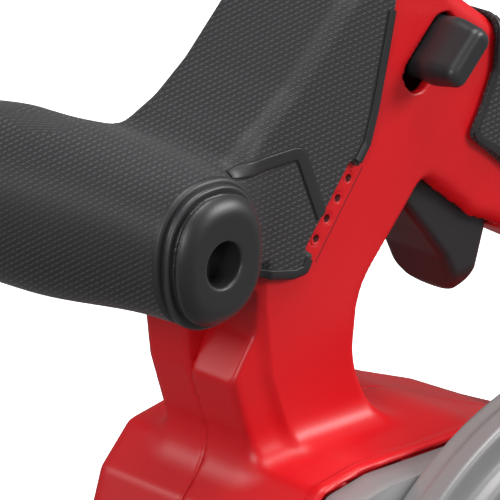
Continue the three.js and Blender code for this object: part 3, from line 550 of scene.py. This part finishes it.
def outside(x, y, z):
    """The body as if it were solid."""
    cut_back = np.where(under_grips(x, z) < 0, handle(x, y, z, 0, 7), -99)
    body = slab(from_outline(BODY, x, z), y, BODY_NEAR, BODY_FAR, 4.5)
    rim = slab(np.abs(from_outline(BODY, x, z)) - 0.9, y, BODY_NEAR, BODY_NEAR + 4, 0.8)
    foot = slab(from_outline(FOOT, x, z), y, -FOOT_HALF, FOOT_HALF, 3)
    motor = barrel(x, y, z, MOTOR_R, 20, 60.5)
    whole = fuse(np.maximum(handle(x, y, z), cut_back), np.minimum(body, rim), 9)
    return fuse(fuse(whole, motor, 6), foot, 6)


def from_dimples(x, z):
    """Distance from the pockets behind the four small dimples."""
    return np.minimum.reduce([np.hypot(x - at_x, z - at_z) for at_x, at_z in DIMPLES]) - 1.25


def dimple_shade_zones(x, y, z):
    """Where the red body takes a darker red as painted shade: inside the dimples' pockets."""
    return (from_dimples(x, z) < 0.25) & (np.abs(y) > 12) & (np.abs(y) < HANDLE_HALF - 0.12)


def shell(x, y, z):
    """The red body hollowed out, with its screw posts, its holes and room for what moves."""
    room = slab(from_outline(BODY, x, z) + WALL, y, -60, BODY_FAR - WALL, 1)
    room = np.minimum(handle(x, y, z, -WALL, 1), room)
    room = np.minimum(room, barrel(x, y, z, MOTOR_R - WALL, 24, 70))
    solid = np.maximum(outside(x, y, z), -room)
    for at in SCREWS:
        radius = np.hypot(x - at[0], z - at[2])
        solid = np.minimum(solid, slab(radius - 5, y, -16, 16, 0.5))
        hole, shank = slab(radius - 3.6, y, 13, 25, 0.3), slab(radius - 2.2, y, -12, 25, 0.3)
        solid = np.maximum(solid, -np.minimum(hole, shank))
    swept = np.minimum.reduce([from_outline(TRIGGER, *turned_about_pin(x, z, a)) for a in TRIGGER_TURNS])
    trigger_room = slab(swept - 1.3, y, -12.4, 12.4, 1)
    lever_room = lock_plan(x + 1.1, z + 1.0, 22.4, 10.2)
    solid = np.maximum(solid, -np.minimum(trigger_room, lever_room + 0 * y))
    solid = np.maximum(solid, np.minimum(-from_dimples(x, z), np.abs(y) - HANDLE_HALF + 1.8))
    button_room = np.maximum(np.hypot(y - BUTTON[1], z - BUTTON[2]) - 6.3, x - BUTTON_LOW[0] - 7)
    return np.maximum(solid, -button_room)


print("wall:", WALL, "mm, screw posts:", len(SCREWS))

# %% [markdown]
# The two shells are cut from that one field by the middle plane, so their edges agree all round.
# The left one is on the camera's side and gets a slightly finer mesh.

# %% Red shells
low, high, _ = extent("left_shell")
# Quads inside the dimples' pockets take the darker red, painted shade.
skin("red_shell_left", "left_shell", lambda x, y, z: np.maximum(shell(x, y, z), y - OVERLAP),
     low + (-3, -1, -1), (high[0] + 3, 0, high[2] + 2), 1.15, [RED_NYLON, RED_PAINTED_SHADE], dimple_shade_zones)
low, high, _ = extent("right_shell")
skin("red_shell_right", "right_shell", lambda x, y, z: np.maximum(shell(x, y, z), -y - OVERLAP),
     (low[0] - 3, 0, low[2] - 1), high + (3, 1, 2), 1.25, [RED_NYLON, RED_PAINTED_SHADE], dimple_shade_zones)

# %% [markdown]
# The front grip is one elastomer moulding: a round bar across the saw that swells towards its far
# end, and a skin that runs back from it over the handle. The skin is the handle's own field grown
# by its thickness, so it fits without a gap, and a wide fillet blends the bar into it.

# %% Front grip
GRIP = extent("grip_screw")[2]
BAR_NEAR, BAR_FAR = extent("front_grip")[0][1], extent("front_grip")[1][1]
DROOP = 2.5  # how far the bar's far end hangs below its near end
SQUARED = 2.3  # the power of the bar's and the cap's sections, where 2 is an ellipse


def bar_field(x, y, z):
    """The cross bar, on a slightly drooping middle line and a slightly squared section."""
    middle = GRIP[2] - DROOP * ease(-20, 40, y)
    radius = 17.2 + 3.4 * ease(-32, 20, y) - 2.4 * ease(36, 60, y)
    dx, dz = np.abs(x - GRIP[0]), np.abs(z - middle)
    section = (dx**SQUARED + (dz * 0.95) ** SQUARED + 1e-6) ** (1 / SQUARED) - radius
    return slab(section, y, BAR_NEAR, BAR_FAR, 1.0)


def front_grip(x, y, z):
    """The bar blended into the skin that wraps the handle."""
    wrap = handle(x, y, z, SKIN_MM, 4.4)
    whole = fuse(wrap, bar_field(x, y, z), 18)
    region = np.minimum(from_outline(FRONT_SKIN, x, z), np.maximum(x + 86, 212 - z))
    return meet(whole, region + 0 * y, 0.8)


def front_zones(x, y, z):
    """The smooth rings at the bar's two ends."""
    return (y < BAR_NEAR + 1.2) | (y > BAR_FAR - 1.0)


low, high, _ = extent("front_grip")
skin("front_grip_skin", "front_grip", front_grip, low - 2, high + 3, 0.75,
     [TEXTURED_TPE, SMOOTH_TPE], front_zones)

# %% [markdown]
# The smooth bands and the chevrons stand about half a millimetre proud of the texture, and
# near-black lines beside some of them are painted shade where grooves would be, not cut grooves.
# Each is a ribbon: its middle line is chosen on the grip's side, its points are drawn onto the
# grip's own field, and its cross-section then rises along the surface's slope, so it follows every curve.

# %% Bands and chevrons


def spaced(points, step):
    """Points at even steps along a line of corners."""
    points = np.array(points, float)
    lengths = np.hypot(*np.diff(points, axis=0).T)
    along = np.concatenate([[0], np.cumsum(lengths)])
    places = np.linspace(0, along[-1], max(2, int(along[-1] / step)))
    return np.stack([np.interp(places, along, points[:, i]) for i in (0, 1)], axis=1)


def ribbon(name, line, side, half, rise, field, finish, slot="soft_grip"):
    """A band along a line in the plane of x and z, laid on a field's surface."""
    middle = spaced(line, 0.4)
    ahead = np.gradient(middle, axis=0)
    ahead /= np.maximum(np.hypot(*ahead.T), 1e-9)[:, None]
    profile = [(-1, -0.6), (-1, 0.6), (-0.9, 0.96), (-0.78, 1), (-0.3, 1),
               (0.3, 1), (0.78, 1), (0.9, 0.96), (1, 0.6), (1, -0.6)]
    spots = np.array([(x - a[1] * u * half, side * (HANDLE_HALF + SKIN_MM), z + a[0] * u * half)
                      for (x, z), a in zip(middle, ahead) for u, _ in profile])
    for _ in range(3):
        spots = draw_on(field, spots, 4)
    slope = slope_at(field, spots)[1]
    slope /= np.maximum(np.linalg.norm(slope, axis=1), 1e-6)[:, None]
    spots += slope * (np.tile([h for _, h in profile], len(middle)) * rise)[:, None]
    wide = len(profile)
    quads = [(i * wide + j, i * wide + j + 1, (i + 1) * wide + j + 1, (i + 1) * wide + j)
             for i in range(len(middle) - 1) for j in range(wide - 1)]
    if side > 0:
        quads = [q[::-1] for q in quads]
    band = mesh_object(name, spots, quads, [finish])
    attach(band, "housing")


CHEVRON = [(-89, 248.4), (-66, 248.1), (-64.4, 247.7), (-63.4, 246.4), (-56.4, 229.4)]
LOWER_BAND = [(-84, 219.2), (-78, 219.5), (-66, 216.6), (-62.5, 216.8), (-60.6, 219.2)]
UPPER_BAND = [(-43.6, 240.6), (-40.3, 244.6), (-37.6, 252.3), (-34.6, 264.2), (-31.4, 277)]
# The near-black lines beside the chevrons and the upper band are painted groove shade, barely raised.
UPPER_SHADE_LINE = [(x - 1.5, z + 0.4) for x, z in UPPER_BAND]
GROOVE_SHADE_TPE = moulded("elastomer_painted_groove_shade", "#09090a", 0.7, wear_amount=0.0)
# A thin dark red line along the red strip's far edge, painted shade.
STRIP_SHADE_LINE = [(-40.2, 237.8), (-56.8, 216.9)]
BAND = 1.25, 0.5  # a band's half width and its height
for side, hand in SIDES:
    ribbon(f"chevron_groove_shade_{hand}", CHEVRON, side, 2.05, 0.07, front_grip, GROOVE_SHADE_TPE)
    ribbon(f"chevron_{hand}", CHEVRON, side, 1.6, 0.35, front_grip, SMOOTH_TPE)
    ribbon(f"upper_groove_shade_{hand}", UPPER_SHADE_LINE, side, 0.4, 0.07, front_grip, GROOVE_SHADE_TPE)
    ribbon(f"strip_edge_painted_shade_{hand}", STRIP_SHADE_LINE, side, 0.16, 0.05, handle, RED_PAINTED_SHADE, slot="red_shell")
    ribbon(f"lower_band_{hand}", LOWER_BAND, side, *BAND, front_grip, SMOOTH_TPE)
    ribbon(f"upper_band_{hand}", UPPER_BAND, side, *BAND, front_grip, SMOOTH_TPE)
print("bands, chevrons and grooves on both sides")

# %% [markdown]
# Beside each grip's slanted border runs a red strip with four round dimples. At their size the
# body's mesh is too coarse, so each dimple is a small turned cup whose flange lies on the strip.
# Its bowl is darker red, painted shade.

# %% Dimples


def dimple(name, x, z, side):
    """A turned cup: flange, edge and bowl, its rim a few hundredths of a millimetre proud; the bowl is
    darker red as painted shade.
    """
    profile = [(1.75, 0.02), (1.12, 0.04), (1.04, -0.05), (0.95, -0.5), (0.6, -1.0), (0.02, -1.15)]
    turns = 32
    points = [(x + r * math.cos(a), side * (HANDLE_HALF + h), z + r * math.sin(a))
              for r, h in profile for a in (2 * math.pi * k / turns for k in range(turns))]
    quads = []
    for outer in range(0, (len(profile) - 1) * turns, turns):
        for k in range(turns):
            on = (k + 1) % turns
            quads.append((outer + k, outer + on, outer + turns + on, outer + turns + k))
    if side > 0:
        quads = [q[::-1] for q in quads]
    # The bowl's darker red is painted shade.
    shaded_bowl = [i // turns >= 2 for i in range(len(quads))]
    cup = mesh_object(name, points, quads, [RED_NYLON, RED_PAINTED_SHADE], shaded_bowl)
    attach(cup, "housing")


for side, hand in SIDES:
    for i, (x, z) in enumerate(DIMPLES):
        dimple(f"dimple_{hand}_{i + 1}", x, z, side)
print("dimples:", len(DIMPLES), "on each side")

# %% [markdown]
# The bar's ends are closed by hard nylon caps. The near one is an oval a little squarer than an
# ellipse, domed at the rim and flat in the middle, with a round hole that a screwdriver reaches
# through. A turned profile would only give a circle, so it is a field as well.

# %% End caps


def cap_plan(x, z, grow):
    """Distance from the cap's squared oval, grown by so much."""
    dx, dz = np.abs(x - GRIP[0]) / 15.5, np.abs(z - GRIP[2] + 1) / 17.8
    return ((dx**SQUARED + dz**SQUARED + 1e-9) ** (1 / SQUARED) - 1) * 17 - grow


def left_cap(x, y, z):
    """A rim, a dome with a round hole, and the tube behind the hole."""
    rim = slab(cap_plan(x, z, 0.0), y, BAR_NEAR - 2.0, BAR_NEAR + 1.5, 0.7)
    dome = slab(cap_plan(x, z, -0.7), y, BAR_NEAR - 6.5, BAR_NEAR - 1, 5.6)
    from_hole = np.hypot(x - GRIP[0] + 0.6, z - GRIP[2] + 1.4)
    hole = from_hole - 5.75
    stem = slab(np.abs(from_hole - 6.9) - 1.0, y, BAR_NEAR - 2, BAR_NEAR + 15, 0.3)
    return np.minimum(meet(np.minimum(rim, dome), -hole + 0 * y, 0.7), stem)


def right_cap(x, y, z):
    """A plain round dome, on the middle line where the bar's far end has drooped to."""
    plan = np.hypot(x - GRIP[0], z - GRIP[2] + DROOP) - 18.2
    return slab(plan, y, BAR_FAR - 4, BAR_FAR + 6.5, 5.5)


low, high, _ = extent("grip_cap_left")
skin("grip_cap_left_moulding", "grip_cap_left", left_cap, low - 1, high + 1, 0.55, [BLACK_NYLON])
low, high, _ = extent("grip_cap_right")
skin("grip_cap_right_moulding", "grip_cap_right", right_cap, low - 1, high + 1, 0.8, [BLACK_NYLON])

# %% [markdown]
# The rear grip is the same elastomer over the top and sides of the rear handle, with the same band
# along its front edge. Taking the handle's field away from its grown copy leaves the skin hollow.

# %% Rear grip


def rear_grip(x, y, z):
    """A hollow skin over the rear handle."""
    edge = from_outline(REAR_SKIN, x, z)
    return np.maximum(meet(handle(x, y, z, SKIN_MM, 7), edge + 0 * y, 0.8), -handle(x, y, z, 0.2, 7))


low, high, _ = extent("rear_grip")
skin("rear_grip_skin", "rear_grip", rear_grip, low - 2, high + 3, 0.9, [TEXTURED_TPE])
REAR_BAND = [(9.4, 268), (8.4, 254), (4.4, 245), (0.6, 237.6), (2.5, 234.2), (9.5, 230), (58, 191)]
for side, hand in SIDES:
    ribbon(f"rear_band_{hand}", REAR_BAND, side, *BAND, rear_grip, SMOOTH_TPE)

# %% [markdown]
# Trigger and lock-off lever: hard nylon, with a finger's radius on every edge. The lever runs right
# through the handle, and a thumb can press it from either side.

# %% Trigger and lock-off lever
TRIGGER_HALF, TRIGGER_TIP_Z = extent("trigger")[1][1], 187.5


def trigger(x, y, z):
    """The trigger, its lower tip crowned across its width."""
    sides = slab(from_outline(TRIGGER, x, z), y, -TRIGGER_HALF, TRIGGER_HALF, 2.4)
    crowned_tip = TRIGGER_TIP_Z + 7.5 * (np.abs(y) / TRIGGER_HALF) ** 2.5 - z
    return meet(sides, 0.8 * crowned_tip + 0 * x, 1.5)


def lock_lever(x, y, z):
    """A slanted bar through the handle whose two ends swell and then taper."""
    reach = np.abs(y)
    taper = 1.0 * ease(17, 22, reach) - 2.2 * ease(22, 31, reach)
    return meet(lock_plan(x, z, 17.4 + taper, 8.4 + taper), reach - 31, 2.0)


for name, node, field in (("trigger_moulding", "trigger", trigger),
                          ("lock_off_moulding", "lock_off_lever", lock_lever)):
    low, high, _ = extent(node)
    skin(name, node, field, low - 1.5, high + 1.5, 0.6, [BLACK_NYLON])

# %% [markdown]
# The fixed guard is a casting: a thin dish with a rounded shoulder, a rim that runs back over the
# blade, a small step where two castings meet, and a curved slot for the lower guard's lever. It
# could be turned from a profile, but the slot and the cut-off bottom would then need booleans.

# %% Upper guard
GUARD_LOW, GUARD_HIGH, _ = extent("upper_guard")
GUARD_R = GUARD_HIGH[0] - ARBOR[0]
GUARD_NEAR, GUARD_FAR = GUARD_LOW[1], GUARD_HIGH[1]
SLOT_R, SLOT_MIDDLE, SLOT_HALF = 57.5, math.radians(47), 61  # half its length along the arc
HUB_R = 27.5


def around(x, z):
    """Radius and angle about the arbor."""
    dx, dz = x - ARBOR[0], z - ARBOR[2]
    return np.hypot(dx, dz), np.arctan2(dz, dx)


def upper_guard(x, y, z):
    """The dish with its rim, hollowed out, and cut by the slot, the hub's hole and the lower edge."""
    radius, angle = around(x, z)
    step = 0.7 * ease(GUARD_FAR - 6, GUARD_FAR - 5, y)
    dish = slab(radius - GUARD_R + step, y, GUARD_NEAR + 4, GUARD_FAR, 1.3)
    face = slab(radius - GUARD_R + 9, y, GUARD_NEAR, GUARD_FAR - 5, 2.4)
    solid = fuse(dish, face, 3)
    room = np.minimum(slab(radius - GUARD_R + 1.9, y, GUARD_NEAR + 5.4, GUARD_FAR - 1.5, 1.2),
                      slab(radius - GUARD_R + 10.6, y, GUARD_NEAR + 1.6, GUARD_FAR - 1.5, 1.2))
    slot = np.maximum(np.abs(radius - SLOT_R) - 5, np.abs(angle - SLOT_MIDDLE) * SLOT_R - SLOT_HALF)
    slot = np.maximum(slot, y + 60)
    hub = radius - HUB_R + 0 * y
    solid = np.maximum(np.maximum(solid, -room), -hub)
    solid = np.maximum(solid, -slot)
    return np.maximum(solid, GUARD_LOW[2] - z)


skin("upper_guard_casting", "upper_guard", upper_guard, GUARD_LOW - 1, GUARD_HIGH + 1, 0.8, [CAST_GREY])

# %% [markdown]
# Every other piece keeps its CAD shape. A bevel rounds its edges as machining or moulding would,
# wide on mouldings and narrow on steel, and leaves shallow angles alone, so that round faces stay
# smooth.

# %% The other pieces' edges and finishes


def dress(names, finish, width_mm=0.35):
    """Rounded edges, smooth shading and a finish for CAD nodes."""
    for name in names.split():
        piece = nodes[name]
        piece.data.materials.clear()
        piece.data.materials.append(finish)
        piece.data.polygons.foreach_set("use_smooth", [True] * len(piece.data.polygons))
        weld = piece.modifiers.new("weld", "WELD")
        weld.merge_threshold = 1e-6
        bevel = piece.modifiers.new("edges", "BEVEL")
        bevel.width = width_mm / 1000
        bevel.segments = 2
        bevel.limit_method = "ANGLE"
        bevel.angle_limit = math.radians(32)
        bevel.harden_normals = True


dress("battery_case battery_lid battery_rail guard_lever spindle_lock_button bevel_lever depth_lever "
      "switch_box cooling_fan motor_end_cover", BLACK_NYLON, 0.7)
dress("key_clip charge_button", SMOOTH_TPE, 0.5)
dress("latch_left latch_right", RED_NYLON, 0.6)
dress("gear_case bearing_plate lower_guard carriage_rail", CAST_GREY, 0.5)
dress("saw_blade front_post rear_post", BRIGHT_STEEL, 0.15)
dress("trigger_pin driven_gear pinion spindle_bearing_front spindle_bearing_rear motor_bearing_front "
      "motor_bearing_rear motor_shaft spindle guard_spring", TURNED_STEEL, 0.2)
dress("shell_screw_1 shell_screw_2 shell_screw_3 grip_screw motor_rotor inner_flange outer_flange "
      "blade_screw bevel_pin_front bevel_pin_rear bevel_bolt depth_bolt fence_screw hex_key",
      BLACK_STEEL, 0.3)
dress("shoe", ANODISED, 0.5)
dress("motor_stator switch_plunger", COPPER_WIRE, 0.3)
dress("control_board", SOLDER_MASK, 0.2)
dress("battery_cells", CELL_SLEEVE, 0.4)
dress("lamp_lens", LENS, 0.4)
undressed = [n for n, o in nodes.items() if not o.hide_render and not o.modifiers]
print("pieces without a finish:", undressed)

# %% [markdown]
# A pale floor and plain soft light. The key comes from behind on the blade's side, one light from
# above, a weaker fill from the front, and a rim light from the front on the motor's side picks out
# the column's facets.

# %% Floor, light and camera
TARGET = Vector((-0.0618, 0.0, 0.2166))
BACK = Vector((-0.661, -0.661, 0.355)).normalized()  # from what the camera looks at to the camera
CAMERA_M, LENS_MM, SENSOR_MM = 1.2, 345.6, 36
FLOOR_M = 6


def floor():
    """A white floor that the saw neither mirrors nor is lit by."""
    mesh = bpy.data.meshes.new("floor")
    corners = [(x * FLOOR_M, y * FLOOR_M, 0) for x, y in ((-1, -1), (1, -1), (1, 1), (-1, 1))]
    mesh.from_pydata(corners, [], [(0, 1, 2, 3)])
    made, tree, shader = material("pale_floor", Roughness=0.9, Emission_Color=(1, 1, 1, 1),
                                  Emission_Strength=0.75)
    place = add(tree, "TexCoord", out="Object")
    grain = add(tree, "TexNoise", {"Vector": place, "Scale": 4.0})
    tint = add(tree, "Mix", {0: grain, 6: linear("#f4f4f4"), 7: linear("#ffffff")}, 2, data_type="RGBA")
    wire(tree, shader, Base_Color=tint)
    mesh.materials.append(made)
    plane = bpy.data.objects.new("floor", mesh)
    bpy.context.scene.collection.objects.link(plane)
    plane.visible_glossy = plane.visible_diffuse = False


def lamp(name, place, size, power):
    """A square area light that looks at the middle of the saw. Size in metres, power in watts."""
    light = bpy.data.lights.new(name, "AREA")
    light.shape, light.size, light.energy = "SQUARE", size, power
    holder = bpy.data.objects.new(name, light)
    holder.location = place
    holder.rotation_euler = (Vector((0, 0, 0.15)) - Vector(place)).to_track_quat("-Z", "Y").to_euler()
    bpy.context.scene.collection.objects.link(holder)


floor()
lamp("key", (1.3, -1.5, 1.1), 0.8, 37)
lamp("top", (0.1, -0.2, 1.7), 1.0, 20)
lamp("fill", (-1.6, -0.9, 0.9), 0.6, 14)
lamp("rim", (-1.4, 0.95, 0.9), 0.5, 8)
world = bpy.data.worlds.new("studio")
world.use_nodes = True
sky = world.node_tree.nodes["Background"]
sky.inputs["Color"].default_value = (1, 1, 1, 1)
sky.inputs["Strength"].default_value = 0.20
bpy.context.scene.world = world
bpy.context.scene.view_settings.view_transform = "Standard"

camera = bpy.data.cameras.new("camera")
camera.sensor_width = SENSOR_MM
camera.lens = LENS_MM
eye = bpy.data.objects.new("camera", camera)
eye.location = TARGET + BACK * CAMERA_M
eye.rotation_euler = (-BACK).to_track_quat("-Z", "Y").to_euler()
bpy.context.scene.collection.objects.link(eye)
bpy.context.scene.camera = eye
print("lamps:", len(bpy.data.lights), "camera at", [round(c, 3) for c in eye.location])
